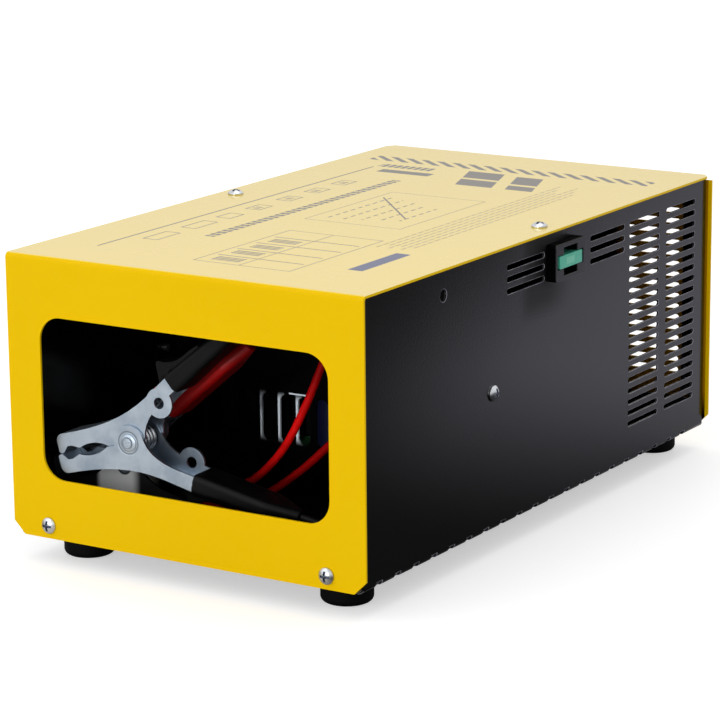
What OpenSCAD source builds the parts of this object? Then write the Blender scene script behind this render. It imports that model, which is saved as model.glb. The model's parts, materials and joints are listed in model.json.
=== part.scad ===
// Battery maintainer in a folded sheet case. The near end has a window into a compartment that stores two
// spring clamps on their leads. x runs across the front, y from the windowed front (-) to the rear (+), and z
// up from the floor.

/* [Case] */
// Width of the cover
case_w = 200; // [196:1:230]
// Depth of the cover, front face to rear face
case_d = 350; // [344:1:400]
// Height of the front plate
case_h = 138; // [136:1:160]
// Thickness of the folded sheet
sheet = 1.2; // [1:0.1:1.5]
// Outside radius of the folds
fold_r = 2.4; // [2:0.1:3]
// How far each side panel lies inside the edge of the cover
side_inset = 2.5; // [2:0.5:4]
// Width of the flanges that are folded inwards round the chassis
flange_w = 13.5; // [12:0.5:15]
// Cut-off at the bottom corners of the front and rear plates
corner_cut = 6.3; // [3:0.1:8]
// Relief at the rear corners of the top, across
relief_w = 5; // [4:0.5:8]
// Relief at the rear corners of the top, along
relief_d = 8; // [6:0.5:12]

/* [Window] */
// Width of the window
window_w = 162; // [150:1:166]
// Height of the window
window_h = 79.5; // [70:0.5:84]
// Height of the window's middle above the bottom of the plate
window_z = 69.5; // [68:0.5:76]
// Radius of the window's corners
window_r = 12; // [8:0.5:16]

/* [Vents] */
// Distance from one vent slot to the next
vent_pitch = 5.85; // [5.4:0.05:6]
// Width of a vent slot
vent_w = 2.7; // [2.2:0.1:3]
// Length of the slots in the two long columns
vent_len = 33.6; // [30:0.2:36]
// Slots in each long column
vent_rows = 19; // [12:1:20]
// Slots in each column of the rear plate
rear_rows = 16; // [10:1:18]
// Distance from one notch in the bottom folds to the next
notch_pitch = 16.2; // [14:0.1:18]
// Length of a notch in the bottom folds
notch_len = 5; // [4:0.5:7]

/* [Feet] */
// Radius of a foot
foot_r = 12.5; // [11:0.5:14]
// Height of a foot
foot_h = 12.7; // [11:0.1:16]
// Distance of each foot from the side of the cover
foot_in = 26; // [22:1:32]
// Distance of each front foot from the front face
foot_y = 25; // [22:1:30]
// Distance of each rear foot from the rear face
rear_foot_y = 16; // [15:1:30]

/* [Compartment] */
// Distance from the front face to the partition
bay_d = 124; // [123:1:130]
// Width of a slot in the partition
bar_slot_w = 7.4; // [6:0.1:7.6]
// Height of a slot in the partition
bar_slot_h = 25; // [20:1:30]
// Distance from one partition slot to the next
bar_pitch = 10.8; // [10:0.1:11]
// Slots in the partition
bar_slots = 12; // [8:1:12]
// Diameter of a lead
lead_d = 4; // [3.6:0.1:4.2]
// Middle radius of a lead's stored coil
coil_r = 21; // [20:0.5:22]
// Thickness of the black lead's stored coil
coil_t = 12; // [10:0.5:12.5]
// Thickness of the red lead's stored coil
red_coil_t = 8; // [7:0.5:9]

/* [Fuse] */
// Length of the fuse holder along the side
holder_l = 30; // [28:0.5:32]
// Height of the fuse holder
holder_h = 18.5; // [17:0.5:20]
// How far the fuse holder stands out of the side
holder_out = 5.5; // [4.5:0.5:7]
// Length of the blade fuse's body
fuse_l = 22.6; // [21:0.2:23]
// Thickness of the blade fuse's body
fuse_t = 6.4; // [5.6:0.1:6.8]

/* [Clamps] */
// Width of a clamp over its side plates
clamp_w = 18.4; // [18:0.2:18.6]
// Sheet thickness of a clamp
jaw_sheet = 1.2; // [1:0.1:1.4]
// Running gap between the plates of the two halves
jaw_gap = 0.3; // [0.2:0.05:0.4]
// Radius of a clamp's rivet
rivet_r = 2.4; // [2:0.1:2.8]
// Wire diameter of a clamp's spring
wire_d = 1.8; // [1.5:0.1:2]
// Wall of a vinyl boot
boot_wall = 1.2; // [1:0.1:1.3]
// Turn of a clamp about the vertical, handles to the rear
clamp_yaw = 2; // [0:0.5:3]
// Tilt of the black clamp, handles up
black_tilt = 14.9; // [14.5:0.1:15.5]
// Tilt of the red clamp, handles up
red_tilt = 13.2; // [13:0.1:14]

/* [Screws] */
// Radius of the pan heads
head_r = 4; // [3.5:0.1:4.4]
// Height of the pan heads
head_h = 2.6; // [2.2:0.1:3]
// Radius of the screw shanks
shank_r = 2; // [1.8:0.1:2.2]
// Radial clearance of a screw in its hole
screw_fit = 0.1; // [0.05:0.05:0.2]

/* [Hidden] */
$fn = 48;

// A cutter's reach past the face it cuts
past = 1;
// Space between neighbours that must not touch
clear = 0.3;

front_y = -case_d / 2;
rear_y = case_d / 2;
base_z = foot_h;
top_z = base_z + case_h;
roof_z = top_z - sheet;
floor_z = base_z + sheet;
wall_x = case_w / 2 - side_inset;
inner_x = wall_x - sheet;
tray_d = case_d - 2 * sheet;
foot_x = case_w / 2 - foot_in;
foot_rows = [front_y + foot_y, rear_y - rear_foot_y];
lip_h = 14;
screw_len = 8;
end_screw_x = case_w / 2 - 21;
end_screw_z = base_z + 6.5;
top_screw_x = wall_x - flange_w / 2 - 1;
top_screw_y = front_y + 178;
partition_y = front_y + bay_d;
tab_d = 12;
side_screw_y = partition_y + sheet - tab_d / 2;
side_screw_z = base_z + 68;
first_slot_x = -inner_x + 17.9;
yellow = [0.92, 0.76, 0.02];
black = [0.08, 0.08, 0.09];
steel = [0.75, 0.77, 0.8];

// Fuse holder's middle on the right side panel
fuse_y = front_y + 186;
fuse_z = base_z + 121.8;
// Middle of the mains inlet on the rear plate
inlet_x = 0;
inlet_z = base_z + 34;
inlet_w = 27.4;
inlet_h = 19.8;
inlet_pitch = 40;

// Circuit board's middle, size and seat
board_w = inner_x - 4.3;
board_d = case_d - 160;
board_t = 1.6;
board_x = 1 - board_w / 2;
board_y = front_y + 137 + board_d / 2;
standoff_h = 8;
board_z = floor_z + standoff_h;
// Transformer's middle and the size of its core
core_w = 0.6 * inner_x;
core_d = 30;
core_h = 48;
core_x = inner_x / 2;
core_y = front_y + 172;
foot_tab = 12;

// Coils of the leads
coil_x = inner_x - coil_r - coil_t / 2 - 3.3;
coil_y = partition_y - coil_r - coil_t / 2 - 9;
tie_t = 0.9;
tie_fit = 0.2;
coil_z = floor_z + tie_fit + tie_t + tie_fit;

// Clamps: the middle of each rivet, and the tilt
black_at = [[-case_w / 2 + 64.3, front_y + 15.9, base_z + 51.6], black_tilt];
red_at = [[-case_w / 2 + 47, front_y + 35.1, base_z + 33.5], red_tilt];

// Routes of the leads, from the output terminals to the coil and from the coil to the clamp, as drawn in a
// case of this width, depth and height of feet
drawn_w = 200;
drawn_d = 350;
drawn_base = 12.7;
red_out = [[60, -33, 70], [60, -40, 70], [60, -47, 70], [60, -54, 70], [59.3, -62, 68.8],
    [56.5, -69.5, 65.5], [50.5, -75.5, 59.5], [44, -79, 52], [39, -81, 43], [36.8, -85.5, 35],
    [37.5, -92, 30.5], [43, -98.5, 29.6]];
red_back = [[80, -107, 33.5], [88, -100.5, 38], [90, -95, 46.5], [89, -91.5, 56], [86, -90, 66],
    [77, -91, 79], [62, -90, 81], [44, -89, 69], [26, -90, 53], [12, -91, 40], [-5, -92, 27],
    [-17, -95, 20], [-26, -100, 21], [-21, -104, 28], [-7, -103, 36], [9, -103, 53], [22, -103, 76],
    [32, -103, 98], [40, -104, 114], [53, -107, 125], [70, -112, 122], [83, -118, 107],
    [88, -123, 85], [89, -126, 62], [86, -129.5, 42], [77, -133, 26], [64, -136, 17.6],
    [53, -137, 16.3], [43.6, -137.3, 16.2], [34, -137.6, 18.2]];
black_out = [[80, -33, 70], [80, -40, 70], [80, -47, 70], [81, -58, 69], [86, -66, 59], [91, -68, 47],
    [92.3, -69.7, 37.5], [93.5, -74, 31], [94, -80.5, 27], [92, -88.5, 25.2]];
black_back = [[90.3, -91, 18], [91.5, -101, 21], [93, -117, 23], [92, -133, 27], [86, -146, 31],
    [74, -154.4, 34.9], [62, -156.5, 36.9], [52, -156.8, 38.8]];

function unit(v) = v / norm(v);
function last(list) = list[len(list) - 1];

// Point at share t of the curve from b to c, with the neighbours a and d
function curve_point(a, b, c, d, t) =
    0.5 * (2 * b + (c - a) * t + (2 * a - 5 * b + 4 * c - d) * t * t + (3 * b - a - 3 * c + d) * t * t * t);

// A smooth line through the points, with steps stretches from each to the next
function smooth(points, steps) = [
    for (i = [0 : len(points) - 2], k = [0 : steps - 1])
        let (end = min(i + 2, len(points) - 1))
        curve_point(points[max(i - 1, 0)], points[i], points[i + 1], points[end], k / steps),
    last(points)];

// The route in this case: its first and last points keep to the side, given as 1 for right and -1 for left
function moved(route, first_side, last_side) = [
    for (i = [0 : len(route) - 1])
        let (side = first_side + (last_side - first_side) * i / (len(route) - 1))
        route[i] + [side * (case_w - drawn_w) / 2, (drawn_d - case_d) / 2, base_z - drawn_base]];

function directions(line) = [
    for (i = [0 : len(line) - 1]) unit(line[min(i + 1, len(line) - 1)] - line[max(i - 1, 0)])];

// A side direction carried along the line without twist
function carried(side, along) = unit(side - (side * along) * along);
function sides_along(along, first) = [
    for (i = 0, s = carried(first, along[0]); i < len(along);
        i = i + 1, s = carried(s, along[min(i, len(along) - 1)])) s];

// A round tube along a line, closed at both ends
module tube(line, diameter, sides, first = [0.1, 0.2, 1]) {
    along = directions(line);
    across = sides_along(along, first);
    rings = len(line);
    points = [for (i = [0 : rings - 1], k = [0 : sides - 1])
        let (a = 360 * k / sides)
        line[i] + diameter / 2 * (cos(a) * across[i] + sin(a) * cross(along[i], across[i]))];
    walls = [for (i = [0 : rings - 2], k = [0 : sides - 1])
        let (j = (k + 1) % sides, a = i * sides + k, b = i * sides + j)
        each [[a, a + sides, b + sides], [a, b + sides, b]]];
    start = [[for (k = [0 : sides - 1]) k]];
    end = [[for (k = [sides - 1 : -1 : 0]) (rings - 1) * sides + k]];
    polyhedron(points, concat(walls, start, end));
}

// Flat shapes
module round_rect(w, h, r) {
    square([w - 2 * r, h], center = true);
    square([w, h - 2 * r], center = true);
    for (x = [-1, 1], y = [-1, 1])
        translate([x * (w / 2 - r), y * (h / 2 - r)]) circle(r);
}

module slot(length, width) {
    square([length - width, width], center = true);
    for (x = [-1, 1]) translate([x * (length - width) / 2, 0]) circle(width / 2);
}

// A shape that stands on its base line, with round upper corners
module arch(w, h, r) {
    translate([-w / 2, 0]) square([w, h - r]);
    translate([-w / 2 + r, 0]) square([w - 2 * r, h]);
    for (x = [-1, 1]) translate([x * (w / 2 - r), h - r]) circle(r);
}

// Stands a flat shape up across the case, from y0 to y1
module across_case(y0, y1) {
    translate([0, y1, 0]) rotate([90, 0, 0]) linear_extrude(y1 - y0) children();
}

// Stands a flat shape up along the case, from x0 to x1, its first axis to the rear
module along_case(x0, x1) {
    translate([x0, 0, 0]) rotate([90, 0, 90]) linear_extrude(x1 - x0) children();
}

// A pan head screw with a cross recess, its shank along -z from the seat
module pan_screw(length = screw_len, r = shank_r, cap_r = head_r, cap_h = head_h) {
    dome = (cap_r * cap_r + cap_h * cap_h) / (2 * cap_h) + 1;
    difference() {
        intersection() {
            cylinder(r = cap_r, h = cap_h);
            translate([0, 0, cap_h - dome]) sphere(dome, $fn = 64);
        }
        for (a = [0, 90]) rotate([0, 0, a])
            translate([-cap_r * 0.6, -cap_r * 0.11, cap_h * 0.45]) cube([cap_r * 1.2, cap_r * 0.22, cap_h]);
    }
    translate([0, 0, -length]) cylinder(r = r, h = length);
}

// Vent slots of a side panel, in distances from the front and above the bottom edge
module side_slots() {
    for (group = [[150.9, 126.5, 36.8], [235.2, 126, 36.8]], i = [0 : 2])
        translate([front_y + group[0], base_z + group[1] - i * vent_pitch]) slot(group[2], vent_w);
    for (y = [276.3, 317.8], i = [0 : vent_rows - 1])
        translate([front_y + y, base_z + 126 - i * vent_pitch]) slot(vent_len, vent_w);
}

module rear_slots() {
    for (side = [-1, 1], i = [0 : rear_rows - 1])
        translate([side * (case_w / 2 - 35), base_z + 117 - i * vent_pitch]) slot(vent_len, vent_w);
}

module cover() {
    color(yellow) difference() {
        along_case(-case_w / 2, case_w / 2) translate([0, base_z]) difference() {
            arch(case_d, case_h, fold_r);
            translate([0, -past]) arch(case_d - 2 * sheet, case_h - sheet + past, fold_r - sheet);
        }
        across_case(front_y - past, rear_y + past) for (side = [-1, 1])
            translate([side * case_w / 2, base_z]) rotate(45) square(corner_cut * sqrt(2), center = true);
        across_case(front_y - past, front_y + sheet + past)
            translate([0, base_z + window_z]) round_rect(window_w, window_h, window_r);
        across_case(front_y - past, rear_y + past) for (side = [-1, 1])
            translate([side * end_screw_x, end_screw_z]) circle(shank_r + screw_fit);
        across_case(rear_y - sheet - past, rear_y + past) {
            rear_slots();
            translate([inlet_x, inlet_z])
                square([inlet_w + 2 * screw_fit, inlet_h + 2 * screw_fit], center = true);
            for (side = [-1, 1]) {
                translate([inlet_x + side * inlet_pitch / 2, inlet_z]) circle(shank_r * 0.75 + screw_fit);
                translate([side * 9, base_z + 104]) circle(2.5 + screw_fit);
            }
        }
        for (side = [-1, 1]) translate([side * top_screw_x, top_screw_y, roof_z - past])
            cylinder(r = shank_r + screw_fit, h = sheet + 2 * past);
        for (side = [0, 1]) mirror([side, 0, 0]) translate([0, 0, top_z - fold_r - 0.6])
            linear_extrude(fold_r + past)
                polygon([[case_w / 2 - relief_w, rear_y + past], [case_w / 2 + past, rear_y + past],
                    [case_w / 2 + past, rear_y - relief_d], [case_w / 2 - relief_w, rear_y]]);
    }
}

module chassis() {
    tray_h = roof_z - base_z;
    color(black) difference() {
        intersection() {
            union() {
                // Bottom and sides
                across_case(-tray_d / 2, tray_d / 2) translate([0, roof_z]) mirror([0, 1]) difference() {
                    arch(2 * wall_x, tray_h, fold_r);
                    translate([0, -past]) arch(2 * inner_x, tray_h - sheet + past, fold_r - sheet);
                }
                // Flanges at the ends of the sides, along their tops, and lips of the bottom
                for (side = [0, 1]) mirror([side, 0, 0]) {
                    for (end = [0, 1]) mirror([0, end, 0])
                        translate([wall_x - flange_w, -tray_d / 2, base_z + lip_h + 2])
                            cube([flange_w - past / 2, sheet, tray_h - lip_h - 6]);
                    translate([wall_x - flange_w, -tray_d / 2 + 4, roof_z - sheet])
                        cube([flange_w - past / 2, tray_d - 8, sheet]);
                }
                for (end = [0, 1]) mirror([0, end, 0])
                    translate([-inner_x + 3, -tray_d / 2, base_z + sheet / 2])
                        cube([2 * inner_x - 6, sheet, lip_h]);
            }
            translate([0, 0, base_z - past]) linear_extrude(case_h + 2 * past)
                round_rect(2 * wall_x, tray_d, fold_r);
        }
        along_case(-wall_x - past, wall_x + past) {
            side_slots();
            translate([front_y + 73.2, base_z + 124.4]) circle(3);
            translate([side_screw_y, side_screw_z]) circle(shank_r + screw_fit);
        }
        // Cut-out of the fuse holder, in the right side only
        along_case(inner_x - past, wall_x + past) translate([fuse_y, fuse_z])
            square([holder_l, holder_h] - 2 * (holder_rim - clear) * [1, 1], center = true);
        for (side = [-1, 1], i = [0 : floor((case_d - 30) / notch_pitch)])
            translate([side * wall_x, front_y + 15.6 + i * notch_pitch, base_z])
                cube([5, notch_len, 5], center = true);
        across_case(-tray_d / 2 - past, tray_d / 2 + past) for (side = [-1, 1])
            translate([side * end_screw_x, end_screw_z]) circle(shank_r + screw_fit);
        for (side = [-1, 1]) translate([side * top_screw_x, top_screw_y, roof_z - sheet - past])
            cylinder(r = shank_r + screw_fit, h = sheet + 2 * past);
        for (x = [-1, 1], y = foot_rows) translate([x * foot_x, y, base_z - past])
            cylinder(r = shank_r + screw_fit, h = sheet + 2 * past);
        for (p = transformer_holes) translate([p[0], p[1], base_z - past])
            cylinder(r = shank_r + screw_fit, h = sheet + 2 * past);
    }
}

module partition() {
    color(black) difference() {
        union() {
            translate([-inner_x, partition_y, floor_z])
                cube([2 * inner_x, sheet, roof_z - floor_z - sheet - 2]);
            for (side = [0, 1]) mirror([side, 0, 0])
                translate([inner_x - sheet, partition_y + sheet - tab_d, floor_z + 4])
                    cube([sheet, tab_d, roof_z - floor_z - 12]);
            translate([-inner_x + 6, partition_y, floor_z]) cube([2 * inner_x - 12, tab_d, sheet]);
        }
        across_case(partition_y - past, partition_y + sheet + past)
            for (i = [0 : bar_slots - 1])
                translate([first_slot_x + i * bar_pitch, base_z + 38.3])
                    rotate(90) slot(bar_slot_h, bar_slot_w);
        for (x = grommet_xs) translate([x, partition_y - past, grommet_z]) rotate([-90, 0, 0])
            cylinder(r = grommet_r, h = sheet + 2 * past);
        along_case(-inner_x - past, inner_x + past)
            translate([side_screw_y, side_screw_z]) circle(shank_r + screw_fit);
    }
}

// Grommets: where they sit, and the radius of their neck
grommet_xs = [inner_x - 36.3, inner_x - 16.3];
grommet_z = base_z + 57.3;
grommet_r = lead_d / 2 + 2.5;
lead_fit = 0.2;

module lead_grommets() {
    color(black) for (x = grommet_xs) translate([x, partition_y + sheet / 2, grommet_z]) rotate([-90, 0, 0])
        rotate_extrude() difference() {
            translate([lead_d / 2 + lead_fit, -sheet / 2 - 2]) square([4.3, sheet + 4]);
            translate([grommet_r, -sheet / 2]) square([5, sheet]);
        }
}

module output_terminals() {
    strip_y = partition_y + sheet + 8.8;
    end = 8;
    color("dimgray") difference() {
        union() {
            translate([grommet_xs[0] - end, strip_y, grommet_z - end])
                cube([grommet_xs[1] - grommet_xs[0] + 2 * end, 14, 2 * end]);
            translate([(grommet_xs[0] + grommet_xs[1]) / 2 - 2.5, partition_y + sheet, grommet_z - 6])
                cube([5, strip_y - partition_y - sheet, 12]);
        }
        for (x = grommet_xs) {
            translate([x, strip_y - past, grommet_z]) rotate([-90, 0, 0])
                cylinder(r = lead_d / 2 + lead_fit, h = 8 + past);
            translate([x, strip_y + 7, grommet_z + 4]) cylinder(r = 2.6, h = 8);
        }
    }
}

module foot() {
    edge = 3;
    color(black) rotate_extrude() difference() {
        union() {
            translate([0, edge]) square([foot_r, foot_h - edge]);
            square([foot_r - edge, foot_h]);
            translate([foot_r - edge, edge]) circle(edge);
        }
        square([head_r + 1.2, foot_h - 5]);
        square([shank_r + screw_fit, foot_h + past]);
    }
}

module foot_at(side, row) {
    translate([side * foot_x, foot_rows[row], 0]) foot();
}

module foot_screws() {
    color(steel) for (x = [-1, 1], y = foot_rows)
        translate([x * foot_x, y, foot_h - 5]) rotate([180, 0, 0]) pan_screw(5 + sheet + 3);
}

module front_screws() {
    color(steel) for (side = [-1, 1])
        translate([side * end_screw_x, front_y, end_screw_z]) rotate([90, 0, 0]) pan_screw();
}

module rear_screws() {
    color(steel) for (side = [-1, 1])
        translate([side * end_screw_x, rear_y, end_screw_z]) rotate([-90, 0, 0]) pan_screw();
}

module top_screws() {
    color(steel) for (side = [-1, 1]) translate([side * top_screw_x, top_screw_y, top_z]) pan_screw();
}

module partition_screws() {
    color(steel) for (side = [0, 1]) mirror([side, 0, 0])
        translate([wall_x, side_screw_y, side_screw_z]) rotate([0, 90, 0]) pan_screw(5);
}

// The holder in its own frame: z out of the side panel from its outer face, x along the case, y up
holder_in = 16;
holder_rim = 2;
blade_x = 0.36 * fuse_l;
module on_side() {
    translate([wall_x, fuse_y, fuse_z]) rotate([90, 0, 90]) children();
}

module fuse_holder() {
    color(black) on_side() difference() {
        union() {
            linear_extrude(holder_out) round_rect(holder_l, holder_h, 1.2);
            translate([0, 0, -holder_in]) linear_extrude(holder_in + past)
                square([holder_l - 2 * holder_rim, holder_h - 2 * holder_rim], center = true);
        }
        translate([0, 0, -8]) linear_extrude(holder_out + 8 + past) {
            square([fuse_l + 2 * clear, fuse_t + 2 * clear], center = true);
            square([fuse_l * 0.6, holder_h - 6], center = true);
        }
        // Wider round the face of the fuse, for fingers
        translate([0, 0, 1.5]) linear_extrude(holder_out) {
            square([fuse_l + 3.4, fuse_t + 2 * clear], center = true);
            square([fuse_l * 0.6, holder_h - 4.5], center = true);
        }
        for (side = [-1, 1]) translate([side * blade_x, 0, -holder_in - past]) linear_extrude(holder_in)
            square([5.4, 3.2], center = true);
    }
}

module fuse_terminals() {
    color("goldenrod") on_side() for (side = [-1, 1]) translate([side * blade_x, 0, -holder_in - 6])
        difference() {
            translate([-2.6, -1.5, 0]) cube([5.2, 3, 14]);
            translate([-2.6 - past, -0.4 - screw_fit, 8]) cube([5.2 + 2 * past, 0.8 + 2 * screw_fit, 9]);
        }
}

module blade_fuse() {
    color([0.35, 0.78, 0.55]) on_side() translate([0, 0, -7.6]) difference() {
        linear_extrude(holder_out + 7.9) round_rect(fuse_l, fuse_t, 0.8);
        translate([0, 0, -past]) linear_extrude(past + 2) for (side = [-1, 1])
            translate([side * blade_x, 0]) square([5.2, 0.8], center = true);
    }
}

module fuse_blades() {
    color(steel) on_side() for (side = [-1, 1]) translate([side * blade_x, 0, -13.4])
        linear_extrude(7.8) square([5.2, 0.8], center = true);
}

module mains_inlet() {
    color(black) translate([inlet_x, rear_y, inlet_z]) rotate([-90, 0, 0]) mirror([0, 1, 0]) difference() {
        union() {
            linear_extrude(2.4) {
                round_rect(30, 22.4, 2);
                slot(inlet_pitch + 10, 10);
            }
            translate([0, 0, -18]) linear_extrude(18 + past) square([inlet_w, inlet_h], center = true);
        }
        translate([0, 0, -15]) linear_extrude(18) difference() {
            square([24, 16.4], center = true);
            for (side = [-1, 1]) translate([side * 12, 8.2]) rotate(45) square(5, center = true);
        }
        for (side = [-1, 1]) translate([side * inlet_pitch / 2, 0, -past])
            cylinder(r = shank_r * 0.75 + screw_fit, h = 4 + past);
    }
}

module inlet_pins() {
    color(steel) translate([inlet_x, rear_y, inlet_z]) rotate([-90, 0, 0]) mirror([0, 1, 0])
        for (p = [[-7, -2], [0, 2], [7, -2]])
            translate([p[0] - 1, p[1] - 2, -15]) cube([2, 4, 13]);
}

module inlet_screws() {
    color(steel) for (side = [-1, 1])
        translate([inlet_x + side * inlet_pitch / 2, rear_y + 2.4, inlet_z]) rotate([-90, 0, 0])
            pan_screw(length = 7, r = shank_r * 0.75, cap_r = head_r * 0.7, cap_h = head_h * 0.7);
}

module indicator_lenses() {
    color([0.2, 0.7, 0.3]) for (side = [-1, 1])
        translate([side * 9, rear_y, base_z + 104]) rotate([-90, 0, 0]) {
            translate([0, 0, -5]) cylinder(r = 2.5, h = 5);
            cylinder(r = 3.3, h = 0.8);
            translate([0, 0, 0.8]) intersection() {
                sphere(2.5);
                cylinder(r = 3, h = 3);
            }
        }
}

// Corners of the circuit board's screws, from its middle
board_holes = [
    for (x = [-1, 1], y = [-1, 1]) [board_x + x * (board_w / 2 - 5), board_y + y * (board_d / 2 - 5)]];

module circuit_board() {
    color("darkgreen") difference() {
        translate([board_x - board_w / 2, board_y - board_d / 2, board_z]) cube([board_w, board_d, board_t]);
        for (p = board_holes) translate([p[0], p[1], board_z - past])
            cylinder(r = 1.5 + screw_fit, h = board_t + 2 * past);
    }
}

module board_standoffs() {
    color(steel) for (p = board_holes) translate([p[0], p[1], floor_z]) difference() {
        cylinder(r = 3.2, h = standoff_h);
        translate([0, 0, past]) cylinder(r = 1.5 + screw_fit, h = standoff_h);
    }
}

module board_screws() {
    color(steel) for (p = board_holes) translate([p[0], p[1], board_z + board_t])
        pan_screw(length = 6, r = 1.5, cap_r = 2.8, cap_h = 1.8);
}

// Heat sink on the board, its fins across
sink_w = 30;
sink_d = 76;
sink_h = 46;
sink_x = board_x - 0.24 * board_w;
sink_y = board_y - 0.2 * board_d;
module heat_sink() {
    fin = 1.4;
    fins = 8;
    color("dimgray") translate([sink_x - sink_w / 2, sink_y - sink_d / 2, board_z + board_t]) {
        cube([4, sink_d, sink_h]);
        for (i = [0 : fins - 1])
            translate([0, i * (sink_d - fin) / (fins - 1), 0]) cube([sink_w, fin, sink_h]);
    }
}

module power_transistors() {
    body = [4.5, 16, 19];
    pitch = 0.32 * sink_d;
    color([0.12, 0.12, 0.13]) for (i = [-1 : 1])
        translate([sink_x - sink_w / 2 - body[0], sink_y + i * pitch - body[1] / 2, board_z + board_t + 6]) {
            cube(body);
            for (k = [-1 : 1]) translate([2, 8 + k * 5 - 0.5, -6]) cube([0.8, 1, 7]);
        }
}

// Capacitors: radius and height of each size, and where each stands as shares of the board from its middle
big_can = [11, 40];
middle_can = [8, 28];
small_can = [6, 20];
cans = [[0.28, -0.37, big_can], [0.28, -0.23, big_can], [0.3, 0.32, middle_can], [0.09, 0.33, middle_can],
    [-0.15, 0.34, small_can]];
module capacitors() {
    color("navy") for (can = cans)
        translate([board_x + can[0] * board_w, board_y + can[1] * board_d, board_z + board_t]) difference() {
            cylinder(r = can[2][0], h = can[2][1]);
            translate([0, 0, can[2][1] * 0.9]) rotate_extrude() translate([can[2][0], 0]) circle(0.6);
        }
}

// Transformer: a laminated core round a winding, held down by a strap frame
transformer_holes = [for (side = [-1, 1]) [core_x + side * (core_w / 2 + foot_tab / 2 + 1), core_y]];
leg = 10;
module transformer_core() {
    color("silver") translate([core_x, core_y - core_d / 2, floor_z]) difference() {
        translate([-core_w / 2, 0, 0]) cube([core_w, core_d, core_h]);
        for (side = [0, 1]) mirror([side, 0, 0])
            translate([leg, -past, leg]) cube([core_w / 2 - 2 * leg, core_d + 2 * past, core_h - 2 * leg]);
    }
}

module transformer_winding() {
    color("peru") translate([core_x, core_y, floor_z + leg]) difference() {
        translate([0, 0, clear]) linear_extrude(core_h - 2 * leg - 2 * clear)
            round_rect(core_w - 2 * leg - 2 * clear, core_d + 18, 6);
        translate([-leg, -core_d / 2, -past]) cube([2 * leg, core_d, core_h]);
    }
}

module transformer_frame() {
    color(steel) translate([core_x, core_y - 8, floor_z]) difference() {
        translate([-core_w / 2 - foot_tab - sheet, 0, 0]) difference() {
            cube([core_w + 2 * foot_tab + 2 * sheet, 16, core_h + sheet]);
            for (side = [0, 1])
                translate([side * (core_w + foot_tab + 2 * sheet) - (1 - side) * past, -past, sheet])
                    cube([foot_tab + past, 16 + 2 * past, core_h + past]);
        }
        translate([-core_w / 2, -past, -past]) cube([core_w, 16 + 2 * past, core_h + past]);
        for (p = transformer_holes) translate([p[0] - core_x, 8, -past])
            cylinder(r = shank_r + screw_fit, h = sheet + 2 * past);
    }
}

module transformer_screws() {
    color(steel) for (p = transformer_holes) translate([p[0], p[1], floor_z + sheet]) pan_screw(length = 5);
}

// Clamp half in its own frame: the rivet's axis is y, the jaws point to -x, and the half is the lower one.
// The outline is in x and z. The plain plate is at the front, and the eared one at the rear, further in.
nose = [-38.7, -5.9];
nose_r = 3.6;
jaw_back = [[-37.5, -9.5], [-17, -9.3], [-1, -11.6], [14.5, -19.6]];
handle_back = [[14.5, -19.6], [21, -23.2], [31, -28.8], [40, -33.2]];
handle_end = [[66, -44.4], [66, -38.4]];
handle_inner = [[31.7, -20.5], [22, -15.6], [10.2, -10.6], [8.5, 0]];
lip_in = [-41.5, -jaw_gap / 2];
lip_out = [nose[0] - nose_r, -0.9];
lens_at = [-22.8, 16.46];
lens_r = 19.26;
ear_at = [21.5, -16];
ear_r = 7.2;
ear_hole_r = 2.8;
plain_lobe = 8.5;
eared_lobe = 7.6;
bend_steps = 8;

function bend(p, t) =
    pow(1 - t, 3) * p[0] + 3 * pow(1 - t, 2) * t * p[1] + 3 * (1 - t) * t * t * p[2] + pow(t, 3) * p[3];
function bend_line(p) = [for (i = [0 : bend_steps]) bend(p, i / bend_steps)];
function nose_line(r) = [for (a = [180 : 15 : 270]) nose + r * [cos(a), sin(a)]];
function beyond(x, line) = [for (p = line) if (p[0] > x) p];
function reversed(list) = [for (i = [len(list) - 1 : -1 : 0]) list[i]];

handle_line = bend_line(handle_back);
back_edge = concat(bend_line(jaw_back), beyond(handle_back[0][0] + 0.1, handle_line), [handle_end[0]]);
inner_edge = bend_line(handle_inner);
web_in = [0, jaw_sheet * 1.12];

plain_y = [-clamp_w / 2, -clamp_w / 2 + jaw_sheet];
eared_y = [clamp_w / 2 - 2 * jaw_sheet - jaw_gap, clamp_w / 2 - jaw_sheet - jaw_gap];

module half_outline(lobe) {
    difference() {
        union() {
            polygon(concat([lip_in, lip_out], nose_line(nose_r), back_edge, [handle_end[1]], inner_edge));
            circle(lobe);
        }
        translate(lens_at) circle(lens_r);
        polygon([[-40.2, 0.2], [-37, -3.1], [-34.4, -3.1], [-29.9, -1.4], [-29.9, 0.2]]);
    }
}

module clamp_half() {
    difference() {
        union() {
            // Web along the back and round the nose
            across_case(plain_y[0], eared_y[1])
                polygon(concat([lip_in, lip_out], nose_line(nose_r), back_edge,
                    [for (p = reversed(back_edge)) p + web_in], reversed(nose_line(nose_r - jaw_sheet)),
                    [[lip_out[0] + jaw_sheet, lip_in[1]]]));
            // Plain plate and eared plate
            across_case(plain_y[0], plain_y[1]) half_outline(plain_lobe);
            across_case(eared_y[0], eared_y[1]) difference() {
                union() {
                    half_outline(eared_lobe);
                    translate(ear_at) circle(ear_r);
                }
                translate(ear_at) circle(ear_hole_r);
            }
        }
        translate([0, -clamp_w, 0]) rotate([-90, 0, 0]) cylinder(r = rivet_r + 0.06, h = 2 * clamp_w);
    }
}

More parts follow.
